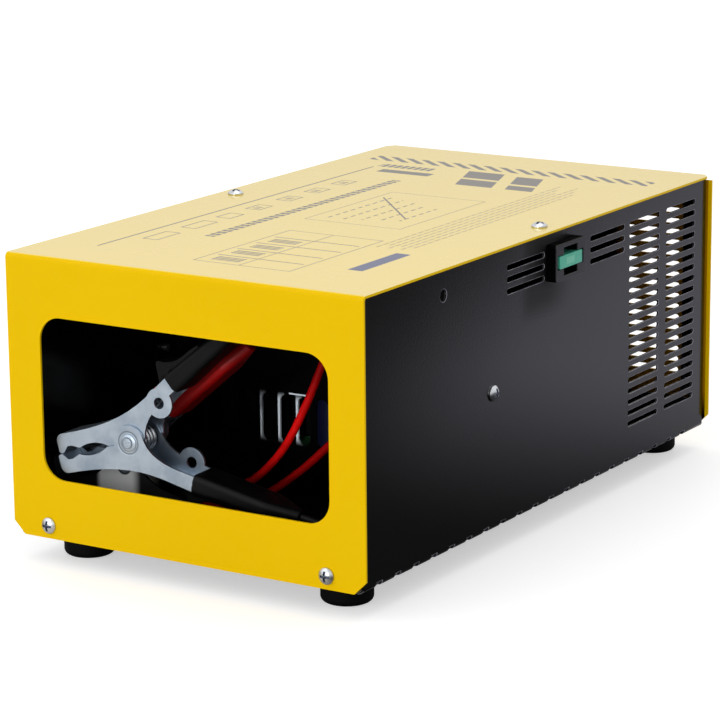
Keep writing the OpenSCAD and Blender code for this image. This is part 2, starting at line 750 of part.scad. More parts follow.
// Boot: where its mouth's middle is, its slope, and its length to the end round the lead
mouth_at = [30.3, -24.05];
boot_slope = 25.8;
boot_l = 55.2;
module boot() {
    mid_y = (plain_y[0] + eared_y[1]) / 2;
    tube_w = eared_y[1] - plain_y[0];
    difference() {
        union() {
            translate([mouth_at[0], mid_y, mouth_at[1]]) rotate([0, boot_slope + 90, 0]) hull() {
                linear_extrude(1) round_rect(7.8 + 2 * boot_wall, tube_w + 2 * boot_wall, 3, $fn = 32);
                translate([0, 0, 38]) linear_extrude(1)
                    round_rect(6 + 2 * boot_wall, tube_w + 2 * boot_wall - 1, 3, $fn = 32);
                translate([0, 0, boot_l - 3.2]) cylinder(r = lead_d / 2 + 1.2, h = 3.2, $fn = 32);
            }
            // Skirt over the back of the handle, narrower towards the finger guard
            hull() {
                across_case(mid_y - 5, mid_y + 5) polygon([[22.9, -24], [22.9, -26.2], [24.5, -27.2]]);
                across_case(mid_y - tube_w / 2, mid_y + tube_w / 2)
                    polygon([[28.4, -27], [28.4, -29.1], [32, -30.6]]);
            }
            // Finger guard
            across_case(mid_y - 6, mid_y + 6)
                polygon([[22.9, -24], [23.3, -33.8], [23.8, -35.1], [24.8, -35.5], [28, -34.3], [32, -33.8],
                    [35.3, -34.1], [40, -35.8], [43.6, -37.6], [49, -39.3], [49, -33], [30, -25]]);
        }
        across_case(plain_y[0], eared_y[1])
            polygon(concat(beyond(12, back_edge), [handle_end[1]], beyond(12, inner_edge)));
    }
}

module rivet() {
    half_w = clamp_w / 2 + 0.1;
    head = 4.2;
    dome = 9.8;
    rotate([90, 0, 0]) {
        translate([0, 0, -half_w - 1]) cylinder(r = rivet_r, h = 2 * half_w + 2);
        for (side = [0, 1]) mirror([0, 0, side]) translate([0, 0, half_w]) difference() {
            intersection() {
                cylinder(r = head, h = 1.2);
                translate([0, 0, 1.2 - dome]) sphere(dome);
            }
            rotate_extrude() translate([2.2, 0.8]) square([0.6, 1]);
            translate([0, 0, 0.6]) linear_extrude(2) slot(3.4, 1);
        }
    }
}

// Middle radius of the spring's turns, and the place where its legs press on the webs
spring_r = 6.2;
spring_pitch = 2.5;
leg_at = [26, 23.4];
module spring() {
    start = -atan2(leg_at[1], leg_at[0]) - acos(spring_r / norm(leg_at));
    sweep = 5 * 360 + 2 * start;
    half_w = sweep / 360 * spring_pitch / 2;
    steps = 60;
    turns = [for (i = [0 : steps])
        let (a = start - sweep * i / steps, y = half_w * (2 * i / steps - 1))
        [spring_r * cos(a), y, spring_r * sin(a)]];
    middle = (leg_at - spring_r * [cos(start), -sin(start)]) / 2 + spring_r * [cos(start), -sin(start)];
    start_leg = [[leg_at[0], -half_w, -leg_at[1]], [middle[0], -half_w, -middle[1]]];
    end_leg = [[middle[0], half_w, middle[1]], [leg_at[0], half_w, leg_at[1]]];
    tube(concat(start_leg, turns, end_leg), wire_d, 6, [0, 1, 0]);
}

// Puts a clamp in the compartment
module clamp_at(place) {
    translate(place[0]) rotate([0, 0, clamp_yaw]) rotate([0, -place[1], 0]) children();
}

module fixed_jaw(place) {
    color(steel) clamp_at(place) clamp_half();
}

module moving_jaw(place) {
    color(steel) clamp_at(place) rotate([180, 0, 0]) clamp_half();
}

module lower_boot(place, shade) {
    color(shade) clamp_at(place) boot();
}

module upper_boot(place, shade) {
    color(shade) clamp_at(place) rotate([180, 0, 0]) boot();
}

module clamp_rivet(place) {
    color(steel) clamp_at(place) rivet();
}

module clamp_spring(place) {
    color(steel) clamp_at(place) spring();
}

red = [0.75, 0.08, 0.08];
dark = [0.1, 0.1, 0.1];

module lead(out, back, shade) {
    color(shade) {
        tube(smooth(moved(out, 1, 1), 2), lead_d, 8);
        tube(smooth(moved(back, 1, -1), 2), lead_d, 8);
    }
}

// A lead's stored coil, its outer side in line with the other's
module coil(base, thick, shade) {
    color(shade) translate([coil_x, coil_y, base + thick / 2])
        rotate_extrude() translate([coil_r + (coil_t - thick) / 2, 0]) round_rect(thick, thick, 3);
}

module black_coil() {
    coil(coil_z, coil_t, dark);
}

module red_coil() {
    coil(coil_z + coil_t + 2 * tie_fit, red_coil_t, red);
}

module coil_tie() {
    high = coil_t + red_coil_t + 2 * tie_fit;
    near = coil_r - coil_t / 2 - 0.9;
    far = coil_r + coil_t / 2 + tie_fit;
    tie_w = 8;
    color(dark) translate([coil_x - tie_w / 2, coil_y, coil_z]) difference() {
        translate([0, -far - tie_t, -tie_fit - tie_t])
            cube([tie_w, far - near + 2 * tie_t, high + 2 * tie_fit + 2 * tie_t]);
        translate([-past, -far, -tie_fit]) cube([tie_w + 2 * past, far - near, high + 2 * tie_fit]);
    }
}

cover();
chassis();
partition();
foot_at(-1, 0);  // foot_front_left
foot_at(1, 0);  // foot_front_right
foot_at(-1, 1);  // foot_rear_left
foot_at(1, 1);  // foot_rear_right
foot_screws();
front_screws();
rear_screws();
top_screws();
partition_screws();
fuse_holder();
fuse_terminals();
blade_fuse();
fuse_blades();
mains_inlet();
inlet_pins();
inlet_screws();
indicator_lenses();
lead_grommets();
output_terminals();
circuit_board();
board_standoffs();
board_screws();
heat_sink();
power_transistors();
capacitors();
transformer_core();
transformer_winding();
transformer_frame();
transformer_screws();
fixed_jaw(black_at);  // black_fixed_jaw
moving_jaw(black_at);  // black_moving_jaw
clamp_rivet(black_at);  // black_rivet
clamp_spring(black_at);  // black_spring
lower_boot(black_at, dark);  // black_lower_boot
upper_boot(black_at, dark);  // black_upper_boot
fixed_jaw(red_at);  // red_fixed_jaw
moving_jaw(red_at);  // red_moving_jaw
clamp_rivet(red_at);  // red_rivet
clamp_spring(red_at);  // red_spring
lower_boot(red_at, red);  // red_lower_boot
upper_boot(red_at, red);  // red_upper_boot
lead(black_out, black_back, dark);  // black_lead
black_coil();
lead(red_out, red_back, red);  // red_lead
red_coil();
coil_tie();
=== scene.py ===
"""Battery maintainer: finishes, leads, soft boots and studio light, laid over the solids in metres."""

import json
import math

import bmesh
import bpy
from mathutils import Matrix, Vector


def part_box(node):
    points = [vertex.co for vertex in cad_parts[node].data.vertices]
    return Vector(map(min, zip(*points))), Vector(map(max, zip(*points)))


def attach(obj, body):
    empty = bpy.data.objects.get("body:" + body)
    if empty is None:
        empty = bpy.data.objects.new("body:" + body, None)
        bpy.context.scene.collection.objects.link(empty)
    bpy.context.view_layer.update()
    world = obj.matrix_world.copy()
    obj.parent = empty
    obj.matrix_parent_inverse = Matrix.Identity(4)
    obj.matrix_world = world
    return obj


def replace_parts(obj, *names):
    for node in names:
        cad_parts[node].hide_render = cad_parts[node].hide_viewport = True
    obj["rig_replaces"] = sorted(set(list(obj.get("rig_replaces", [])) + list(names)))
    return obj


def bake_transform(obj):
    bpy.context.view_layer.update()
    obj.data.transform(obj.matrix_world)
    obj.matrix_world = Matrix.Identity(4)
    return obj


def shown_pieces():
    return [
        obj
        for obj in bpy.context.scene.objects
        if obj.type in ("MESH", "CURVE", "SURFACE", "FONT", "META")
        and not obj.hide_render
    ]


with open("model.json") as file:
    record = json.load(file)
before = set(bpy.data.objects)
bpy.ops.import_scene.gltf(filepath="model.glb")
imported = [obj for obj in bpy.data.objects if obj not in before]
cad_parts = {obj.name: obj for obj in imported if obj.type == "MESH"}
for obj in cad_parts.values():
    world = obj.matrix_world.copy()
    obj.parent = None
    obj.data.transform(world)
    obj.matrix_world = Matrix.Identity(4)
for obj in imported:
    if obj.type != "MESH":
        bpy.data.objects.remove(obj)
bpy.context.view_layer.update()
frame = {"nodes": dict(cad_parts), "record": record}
nodes = frame["nodes"]
behaviour = frame["record"]["behaviour"]
bodies = {name: body for body, names in behaviour["bodies"].items() for name in names}
slots = {row["node"]: row["material_slot"] for row in frame["record"]["subparts"]}
hinges = {row["node"]: joint for joint in behaviour["joints"] for row in joint["deforming_nodes"]}
scene = bpy.context.scene
MM = 0.001

# Camera at the photograph's viewing angle
CAMERA_AT = Vector((0.8071, -1.2981, 0.4416))
CAMERA_YAW = math.radians(-32.27)
CAMERA_PITCH = math.radians(13.53)
CAMERA_ROLL = math.radians(-0.534)
FOCAL_PIXELS = 3093.5
PHOTO_PIXELS = 720


def make_camera():
    data = bpy.data.cameras.new("camera")
    data.sensor_width = 36
    data.lens = FOCAL_PIXELS / PHOTO_PIXELS * data.sensor_width
    data.clip_start, data.clip_end = 0.05, 20
    camera = bpy.data.objects.new("camera", data)
    level = math.cos(CAMERA_PITCH)
    forward = Vector((math.sin(CAMERA_YAW) * level, math.cos(CAMERA_YAW) * level, -math.sin(CAMERA_PITCH)))
    right = Vector((math.cos(CAMERA_YAW), -math.sin(CAMERA_YAW), 0))
    up = right.cross(forward)
    right, up = (math.cos(CAMERA_ROLL) * right + math.sin(CAMERA_ROLL) * up,
                 math.cos(CAMERA_ROLL) * up - math.sin(CAMERA_ROLL) * right)
    turned = Matrix((right, up, -forward)).transposed().to_4x4()
    camera.matrix_world = Matrix.Translation(CAMERA_AT) @ turned
    scene.collection.objects.link(camera)
    scene.camera = camera


make_camera()


class Value:
    """A shader value: an expression on values adds its maths nodes."""

    def __init__(self, finish, socket):
        self.finish, self.socket = finish, socket

    def maths(self, operation, *others):
        return self.finish.node("ShaderNodeMath", {"operation": operation}, dict(enumerate(others)))

    def __add__(self, other):
        return self.maths("ADD", self, other)

    def __sub__(self, other):
        return self.maths("SUBTRACT", self, other)

    def __rsub__(self, other):
        return self.maths("SUBTRACT", other, self)

    def __mul__(self, other):
        return self.maths("MULTIPLY", self, other)

    def __gt__(self, other):
        return self.maths("GREATER_THAN", self, other)

    def __lt__(self, other):
        return self.maths("LESS_THAN", self, other)

    def __abs__(self):
        return self.maths("ABSOLUTE", self)

    def __mod__(self, other):
        return self.maths("FLOORED_MODULO", self, other)

    def __or__(self, other):
        return self.maths("MAXIMUM", self, other)

    __radd__ = __add__

    def root(self):
        return self.maths("SQRT", self)


class Finish:
    """A material with one Principled shader, and the helpers that its pattern needs."""

    def __init__(self, name, **fixed):
        self.material = bpy.data.materials.new(name)
        self.material.use_nodes = True
        self.tree = self.material.node_tree
        self.tree.nodes.clear()
        self.output = self.tree.nodes.new("ShaderNodeOutputMaterial")
        self.shader = self.tree.nodes.new("ShaderNodeBsdfPrincipled")
        self.tree.links.new(self.shader.outputs[0], self.output.inputs[0])
        self.set(**fixed)

    def node(self, kind, settings=None, sockets=None, out=0):
        """Adds a node, sets it up, fills or links its sockets, and gives one of its outputs."""
        made = self.tree.nodes.new(kind)
        for name, value in (settings or {}).items():
            setattr(made, name, value)
        for key, value in (sockets or {}).items():
            if isinstance(value, Value):
                self.tree.links.new(value.socket, made.inputs[key])
            else:
                made.inputs[key].default_value = value
        return Value(self, made.outputs[out])

    def set(self, **values):
        """Sets the shader's own sockets, or links what varies over the surface."""
        for name, value in values.items():
            socket = self.shader.inputs[name.replace("_", " ")]
            if isinstance(value, Value):
                self.tree.links.new(value.socket, socket)
            else:
                socket.default_value = value

    def place(self, stretch=(1, 1, 1)):
        at = self.node("ShaderNodeTexCoord", out="Object")
        if stretch != (1, 1, 1):
            at = self.node("ShaderNodeMapping", {}, {"Vector": at, "Scale": stretch})
        return at

    def xyz(self):
        at = self.place()
        return [self.node("ShaderNodeSeparateXYZ", {}, {0: at}, axis) for axis in range(3)]

    def noise(self, scale, detail=2.0, roughness=0.5, stretch=(1, 1, 1)):
        sockets = {"Vector": self.place(stretch), "Scale": scale, "Detail": detail, "Roughness": roughness}
        return self.node("ShaderNodeTexNoise", {}, sockets, "Fac")

    def soft(self, value, low, high):
        """A smooth step from 0 at low to 1 at high."""
        settings = {"interpolation_type": "SMOOTHSTEP"}
        return self.node("ShaderNodeMapRange", settings, {0: value, 1: low, 2: high})

    def blend(self, share, first, second):
        return self.node("ShaderNodeMix", {"data_type": "RGBA"}, {0: share, 6: first, 7: second}, 2)

    def bump(self, height, distance, strength=1.0):
        sockets = {"Height": height, "Distance": distance, "Strength": strength}
        return self.node("ShaderNodeBump", {}, sockets, "Normal")


def shade(red, green, blue):
    """A display colour from 0 to 255 as the renderer's colour."""
    return tuple((c / 255) ** 2.2 for c in (red, green, blue)) + (1,)


def within(value, low, high):
    return (value > low) * (value < high)


def repeating(value, pitch):
    """The place within each repeat of a pattern, which is counted from a metre before the middle."""
    return (value + 1) % pitch


class TopPrint:
    """The mask of the printed marks on the top, drawn in millimetres as bars, frames and fields."""

    def __init__(self, x, y):
        self.x, self.y = x, y

    def field(self, across, along):
        return (within(self.x, across[0] * MM, across[1] * MM)
                * within(self.y, along[0] * MM, along[1] * MM))

    def dashes(self, across, along, pitch, share):
        return self.field(across, along) * (repeating(self.y, pitch * MM) < pitch * share * MM)

    def outline(self, across, along, line):
        inner = self.field((across[0] + line, across[1] - line), (along[0] + line, along[1] - line))
        return self.field(across, along) * (1 - inner)

    def row_of_frames(self):
        """A long line with a row of small frames beside it, the rear ones with dashes inside."""
        marks = self.field((-71.5, -70.3), (-141, 108))
        for start, length in ((-116, 20), (-84, 20), (-54, 13)):
            marks = marks | self.outline((-63, -54), (start, start + length), 0.8)
        for start in (-28, 0, 26, 52):
            marks = marks | self.outline((-63, -54), (start, start + 13), 0.8)
            marks = marks | self.dashes((-60.5, -56.5), (start + 3, start + 9), 3, 0.5)
        return marks

    def broken_band(self):
        gaps = within(repeating(self.x, 3 * MM), 2.2 * MM, 2.6 * MM)
        return self.dashes((-40.5, -34.5), (-96, 78), 5.1, 0.72) * (1 - gaps)

    def table(self):
        marks = self.outline((-12, 42), (-146, -64), 0.6) | self.outline((-12, 14), (-146, -64), 0.6)
        for rule in (-130, -114, -98, -82):
            marks = marks | self.field((-9, 39), (rule, rule + 1))
            marks = marks | self.dashes((-6, 10), (rule - 11, rule - 3), 2.6, 0.55)
        return marks

    def diagram(self):
        slanted = within(self.y + self.x * 1.1, 12 * MM, 13.5 * MM) * within(self.x, -18 * MM, 22 * MM)
        marks = self.outline((-22, 34), (-36, 48), 0.5) | slanted
        for k in range(5):
            marks = marks | self.dashes((9 * k - 14, 9 * k - 13), (3 * k - 30, 34 - 4 * k), 7, 0.6)
        return marks

    def fine_lines(self):
        """Rows of thin lines, printed fainter than the rest."""
        marks = None
        for k in range(6):
            across = (46 + 3.4 * k, 47.2 + 3.4 * k)
            row = self.dashes(across, (-78 + 6 * (k % 2), 104 - 9 * (k % 3)), 6.4, 0.82) * 0.6
            marks = row if marks is None else marks | row
        return marks

    def slanted_block(self, across, along, gap):
        return (within(self.y, along[0] * MM, along[1] * MM)
                * within(self.x + self.y * 0.35, across[0] * MM, across[1] * MM)
                * (1 - within(self.y, gap[0] * MM, gap[1] * MM)))

    def rear_marks(self):
        """Slanted stripes along the rear edge, and blocks and a row of bars in front of them."""
        pitch = 9.8 * MM
        stripes = self.field((-86, 85), (127, 139)) * (repeating(self.x + self.y * 1.2, pitch) < pitch / 2)
        wide = self.slanted_block((24, 46), (83, 121), (99, 103))
        narrow = self.slanted_block((54, 70), (83, 118), (94, 98))
        plain = self.field((-62, -30), (96, 104))
        bars = self.field((-70, -36), (110, 118)) * (repeating(self.x, 4 * MM) < 2.8 * MM)
        return stripes | wide | narrow | plain | bars

    def marks(self):
        front = self.row_of_frames() | self.broken_band() | self.table() | self.diagram() | self.fine_lines()
        return front | self.rear_marks()

    def blue_bar(self):
        return self.field((62.5, 70.5), (-129, -86))


def yellow_coat():
    f = Finish("yellow_coat", Specular_IOR_Level=0.04, Coat_Roughness=0.08)
    x, y, z = f.xyz()
    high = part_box("cover")[1]
    on_top = z > high.z - 0.3 * MM
    printed = TopPrint(x, y)
    ink = printed.marks() * on_top * 0.85
    bar = printed.blue_bar() * on_top
    colour = f.blend(f.noise(9, 3), shade(245, 200, 6), shade(240, 193, 2))
    # The top is painted a paler yellow than the other faces: a painted highlight from the light above
    colour = f.blend(on_top, colour, shade(253, 217, 36))
    colour = f.blend(ink, colour, shade(84, 94, 124))
    colour = f.blend(bar * 0.9, colour, shade(52, 80, 142))
    # Painted shade: the inside is painted dark, and only towards its rear right end, which the side's last
    # slots show, is it painted yellow as lit
    skin, edge = 1.15 * MM, 1.8 * MM
    inside = (abs(y) < high.y - skin) * (z < high.z - skin) * (abs(x) < high.x - edge)
    lit = f.soft(y, 0.08, 0.13) * f.soft(x, 0.042, 0.052) * f.soft(z, 0.018, 0.036)
    colour = f.blend(inside, colour, f.blend(lit, shade(20, 18, 14), shade(176, 122, 6)))
    # The gloss lies on the top, and ink dulls it
    gloss = on_top * (1 - (ink | bar) * 0.75) * 0.97 + 0.03
    f.set(Base_Color=colour, Roughness=0.24 + f.noise(40, 2) * 0.08 + ink * 0.2, Coat_Weight=gloss,
          Normal=f.bump(f.noise(700, 2), 0.00004, 0.5))
    return f.material


def strips_of_light(f, x, z):
    """Where window light falls on the partition: strips between its slots, and a thin line over them."""
    pitch, half_width, offset = 10.8 * MM, 1.9 * MM, 0.4 * MM
    patch_x, patch_z = -27.4 * MM, 51.5 * MM
    strip = abs((x + offset) % pitch - pitch / 2) < half_width
    across = f.soft(abs(x - patch_x), 16.5 * MM, 12.5 * MM)
    up = f.soft(abs(z - patch_z), 13.5 * MM, 8.5 * MM)
    thin_line = within(x, -22.5 * MM, -11.5 * MM) * within(z, 64.1 * MM, 64.9 * MM)
    return across * up * strip | thin_line


def black_coat(name="black_coat", slotted=False):
    f = Finish(name, Specular_IOR_Level=0.12 if slotted else 0.5)
    x, y, z = f.xyz()
    dust = f.soft(f.noise(60, 6, 0.6), 0.52, 0.8)
    colour = f.blend(dust * 0.35, shade(6, 6, 7), shade(16, 16, 18))
    if slotted:
        colour = f.blend(strips_of_light(f, x, z), colour, shade(196, 204, 212))
    # The side is duller in front of the fuse holder, so it doesn't mirror the holder's wall
    low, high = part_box("fuse_holder")
    dulled = f.soft(y, low.y - 30 * MM, low.y - 15 * MM) * f.soft(y, high.y, low.y)
    dulled = dulled * f.soft(z, 0.105, 0.12) * (x > 0.09)
    f.set(Base_Color=colour, Roughness=(0.3 if slotted else 0.13) + f.noise(25, 3) * 0.05 + dulled * 0.4,
          Normal=f.bump(f.noise(900, 2), 0.00004, 0.5))
    return f.material


def slot_rim():
    # A painted highlight: the rims of the chassis slots are lighter grey than the black coat
    f = Finish("slot_rim", Specular_IOR_Level=0.6)
    rim_highlight_noise = f.noise(180, 4, 0.6)
    colour = f.blend(f.soft(rim_highlight_noise, 0.3, 0.7), shade(84, 84, 92), shade(146, 146, 156))
    f.set(Base_Color=colour, Roughness=0.28 + rim_highlight_noise * 0.1)
    return f.material


def cross_recesses(x, y, z):
    """The cross recesses of the case screws, whose heads face to the front and rear, to the sides and up."""
    arm, reach, head = 0.65 * MM, 2.6 * MM, 4 * MM
    # Only what lies outside these places is a head
    side_at, end_at, top_at = 0.099, 0.17, 0.15

    def cross(across, up, at):
        across, up = abs(across - at[0]), abs(up - at[1])
        return (across < arm) * (up < reach) | (up < arm) * (across < reach)

    def middle(low, high, axis):
        return (low[axis] + high[axis]) / 2

    ends, sides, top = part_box("front_screws"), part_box("partition_screws"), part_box("top_screws")
    at_ends = cross(abs(x), z, (ends[1].x - head, middle(*ends, 2))) * (abs(y) > end_at)
    at_sides = cross(y, z, (middle(*sides, 1), middle(*sides, 2))) * (abs(x) > side_at)
    on_top = cross(abs(x), y, (top[1].x - head, middle(*top, 1))) * (z > top_at)
    return at_ends | at_sides | on_top


def zinc_steel():
    f = Finish("zinc_steel", Metallic=1.0)
    stain = f.noise(160, 5, 0.6)
    colour = f.blend(f.soft(stain, 0.35, 0.7), shade(214, 217, 222), shade(188, 190, 194))
    # The cross recesses of the screw heads are painted darker, as painted shade
    colour = f.blend(cross_recesses(*f.xyz()) * 0.85, colour, shade(86, 98, 120))
    f.set(Base_Color=colour, Roughness=0.2 + stain * 0.16, Normal=f.bump(f.noise(1500, 3), 0.00003, 0.5))
    return f.material


def clamp_steel(name="clamp_steel", metal=1.0, painted_light_and_shade=False):
    f = Finish(name, Metallic=metal)
    x, _, z = f.xyz()
    cloud = f.noise(70, 5, 0.6)
    streak = f.noise(260, 4, 0.6, (0.25, 1, 1.6))
    colour = f.blend(f.soft(cloud, 0.3, 0.72), shade(192, 203, 214), shade(160, 174, 189))
    if painted_light_and_shade:
        # Painted light and shade: only the stretch of the red jaw round its rivet is painted bright, as lit,
        # and the rest near black, as shaded
        painted_lit_stretch = f.soft(x, -69.5 * MM, -66 * MM) * f.soft(x, -43 * MM, -49 * MM)
        colour = f.blend(painted_lit_stretch, shade(12, 12, 14), shade(244, 246, 244))
    # The plate is pressed into a ring round the black clamp's rivet, and the rivet's head is spun over; both
    # rings are bumped and painted darker as shade in their grooves
    pin_x, _, pin_z = hinges["black_spring"]["pos_m"]
    plate_ring, rivet_ring = 5.4 * MM, 2.6 * MM
    away = ((x - pin_x) * (x - pin_x) + (z - pin_z) * (z - pin_z)).root()
    ring = (f.soft(abs(away - plate_ring), 0.6 * MM, 0.2 * MM)
            | f.soft(abs(away - rivet_ring), 0.5 * MM, 0.1 * MM))
    relief = f.bump(streak * 0.2 + (1 - ring), 0.0002, 0.6)
    f.set(Base_Color=f.blend(ring * 0.55, colour, shade(86, 96, 108)),
          Roughness=0.28 + streak * 0.18 + cloud * 0.08, Normal=relief)
    return f.material


def spring_steel():
    f = Finish("spring_steel", Metallic=1.0)
    f.set(Base_Color=f.blend(f.noise(300, 3), shade(205, 206, 208), shade(170, 171, 176)),
          Roughness=0.22 + f.noise(500, 3) * 0.12)
    return f.material


def foot_rubber():
    f = Finish("foot_rubber", Specular_IOR_Level=0.12)
    wear = f.noise(220, 5, 0.6)
    f.set(Base_Color=f.blend(f.soft(wear, 0.45, 0.75), shade(3, 3, 4), shade(9, 9, 10)),
          Roughness=0.55 + wear * 0.2, Normal=f.bump(wear, 0.0001, 0.4))
    return f.material


def plastic(name, dark, light, roughness, grain=0.00006, gloss=0.5):
    f = Finish(name, Specular_IOR_Level=gloss)
    cloud = f.noise(120, 4, 0.55)
    f.set(Base_Color=f.blend(cloud, dark, light), Roughness=roughness + cloud * 0.1,
          Normal=f.bump(f.noise(1400, 3), grain, 0.5))
    return f.material


def holder_plastic():
    """The fuse holder: its outer face is polished, and the walls round it are matt."""
    f = Finish("holder_plastic", Specular_IOR_Level=0.03, Coat_Roughness=0.25)
    x, _, _ = f.xyz()
    cloud = f.noise(120, 4, 0.55)
    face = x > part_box("fuse_holder")[1].x - 0.4 * MM
    f.set(Base_Color=f.blend(cloud, shade(6, 6, 7), shade(13, 13, 15)), Roughness=0.5 + cloud * 0.1,
          Coat_Weight=face, Normal=f.bump(f.noise(1400, 3), 0.00004, 0.5))
    return f.material


def green_plastic():
    """The fuse's body, with a raised field near the middle of its face."""
    f = Finish("green_plastic", Coat_Weight=0.3, Coat_Roughness=0.08)
    _, y, z = f.xyz()
    low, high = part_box("blade_fuse")
    middle = (low + high) / 2
    field = within(y, middle.y - 4.7 * MM, middle.y + 3.3 * MM) * (abs(z - middle.z) < 1.7 * MM)
    colour = f.blend(f.noise(400, 3), shade(68, 178, 146), shade(88, 194, 163))
    f.set(Base_Color=f.blend(field * 0.35, colour, shade(150, 226, 196)), Roughness=0.2,
          Normal=f.bump(field, 0.0002, 0.6))
    return f.material


def vinyl(name, dark, light):
    f = Finish(name, Specular_IOR_Level=0.15)
    crease = f.noise(90, 4, 0.55)
    f.set(Base_Color=f.blend(f.soft(crease, 0.3, 0.75), dark, light), Roughness=0.42 + crease * 0.16,
          Normal=f.bump(f.noise(240, 3, 0.6), 0.00025, 0.35))
    return f.material


def board_laminate():
    """Green board with copper traces under its varnish, each broken up by noise."""
    f = Finish("board_laminate", Coat_Weight=0.3)
    x, y, _ = f.xyz()
    trace_w = 1.2 * MM
    front_to_rear = (repeating(x, 4.1 * MM) < trace_w) * (f.noise(55, 1) > 0.5)
    side_to_side = (repeating(y, 5.3 * MM) < trace_w) * (f.noise(48, 1) > 0.52)
    trace = front_to_rear | side_to_side
    f.set(Base_Color=f.blend(trace, shade(28, 74, 44), shade(60, 110, 62)), Roughness=0.35 + trace * 0.1)
    return f.material


def core_steel():
    """The edges of the transformer's stacked sheets."""
    f = Finish("core_steel", Metallic=0.8)
    _, y, _ = f.xyz()
    pitch = 0.6 * MM
    sheets = repeating(y, pitch) < pitch / 2
    f.set(Base_Color=f.blend(sheets, shade(150, 148, 144), shade(96, 92, 88)), Roughness=0.42 + sheets * 0.1)
    return f.material


def winding_copper():
    """Round wires laid side by side."""
    f = Finish("winding_copper", Metallic=0.6)
    _, _, z = f.xyz()
    wire_d = 1.2 * MM
    off_middle = abs(z % wire_d - wire_d / 2)
    # Painted shade between the wires and a painted highlight along each wire's middle
    f.set(Base_Color=f.blend(f.soft(off_middle, 0, wire_d / 2), shade(196, 116, 70), shade(120, 58, 34)),
          Roughness=0.35, Normal=f.bump(off_middle, 0.6))
    return f.material


def fin_aluminium():
    """Black anodised aluminium, its grain running up the fins."""
    f = Finish("fin_aluminium", Metallic=1.0)
    grain = f.noise(200, 4, 0.6, (1, 1, 0.2))
    f.set(Base_Color=f.blend(grain, shade(40, 40, 43), shade(56, 56, 59)), Roughness=0.34 + grain * 0.14)
    return f.material


def brass():
    f = Finish("contact_brass", Metallic=1.0)
    cloud = f.noise(300, 4)
    colour = f.blend(cloud, shade(212, 190, 130), shade(186, 160, 104))
    f.set(Base_Color=colour, Roughness=0.24 + cloud * 0.14)
    return f.material


# Finishes by the record's material slot
FINISHES = {
    "yellow_coat": yellow_coat(),
    "black_coat": black_coat(),
    "foot_rubber": foot_rubber(),
    "zinc_steel": zinc_steel(),
    "black_plastic": plastic("black_plastic", shade(8, 8, 9), shade(16, 16, 18), 0.4, gloss=0.2),
    "contact_brass": brass(),
    "green_plastic": green_plastic(),
    "lens_plastic": plastic("lens_plastic", shade(40, 150, 60), shade(70, 180, 84), 0.15, 0.00001),
    "grey_plastic": plastic("grey_plastic", shade(96, 97, 100), shade(116, 117, 120), 0.42),
    "board_laminate": board_laminate(),
    "fin_aluminium": fin_aluminium(),
    "sleeve_plastic": plastic("sleeve_plastic", shade(14, 16, 32), shade(22, 25, 46), 0.25),
    "core_steel": core_steel(),
    "winding_copper": winding_copper(),
    "clamp_steel": clamp_steel(),
    "spring_steel": spring_steel(),
    "black_vinyl": vinyl("black_vinyl", shade(5, 5, 6), shade(14, 14, 17)),
    "red_vinyl": vinyl("red_vinyl", shade(176, 8, 9), shade(204, 16, 15)),
}
# Pieces whose finish differs from the rest of their slot
OWN_FINISHES = {
    "partition": black_coat("black_coat_slotted", slotted=True),
    "fuse_holder": holder_plastic(),
    # The red fixed jaw has painted light round its rivet and painted shade on the rest
    "red_fixed_jaw": clamp_steel("lit_and_shaded_clamp_steel", 0.1, painted_light_and_shade=True),
    # The red upper boot gets a darker copy of the red vinyl: painted shade
    "red_upper_boot": vinyl("shaded_red_boot_vinyl", shade(112, 3, 5), shade(136, 7, 8)),
}
SLOT_RIM = slot_rim()


def finish_of(node):
    return OWN_FINISHES.get(node) or FINISHES[slots[node]]


def seat(piece, node, *stands_for):
    """Lets a new piece move and count as the solid that it stands for."""
    if node in hinges:
        # A torsion spring twists: one leg stays on the fixed jaw, and the other goes with the moving one
        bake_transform(piece)
    else:
        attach(piece, bodies[node])
    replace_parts(piece, node, *stands_for)


def plain_mesh(piece):
    """Applies the modifiers of a piece and removes them."""
    evaluated = piece.evaluated_get(bpy.context.evaluated_depsgraph_get())
    mesh = bpy.data.meshes.new_from_object(evaluated)
    piece.modifiers.clear()
    piece.data = mesh


def copied(node, name, flat=0.6):
    """A merged copy of a solid, with faces that meet within flat degrees made whole again."""
    mesh = nodes[node].data.copy()
    shape = bmesh.new()
    shape.from_mesh(mesh)
    bmesh.ops.remove_doubles(shape, verts=shape.verts, dist=3e-6)
    bmesh.ops.dissolve_limit(shape, angle_limit=math.radians(flat), verts=shape.verts, edges=shape.edges,
                             use_dissolve_boundaries=False)
    shape.to_mesh(mesh)
    shape.free()
    mesh.materials.clear()
    mesh.materials.append(finish_of(node))
    piece = bpy.data.objects.new(name, mesh)
    scene.collection.objects.link(piece)
    return piece


def eased(node, width, smooth=32, segments=2):
    """The solid with its sharp edges eased, as a pressed, coated or moulded piece has them."""
    sharp = math.radians(38)
    piece = copied(node, node + "_eased")
    bevel = piece.modifiers.new("edges", "BEVEL")
    bevel.width, bevel.segments = width, segments
    bevel.limit_method, bevel.angle_limit = "ANGLE", sharp
    if node == "chassis":
        # The punched edges of its slots get a lighter rim, a painted highlight
        piece.data.materials.append(SLOT_RIM)
        bevel.material, bevel.use_clamp_overlap = 1, False
    plain_mesh(piece)
    piece.data.set_sharp_from_angle(angle=math.radians(smooth))
    # Broad faces keep their own direction, so only the eased edges look round
    weighted = piece.modifiers.new("broad_faces", "WEIGHTED_NORMAL")
    weighted.mode, weighted.weight, weighted.keep_sharp = "FACE_AREA", 90, True
    plain_mesh(piece)
    seat(piece, node)
    return piece


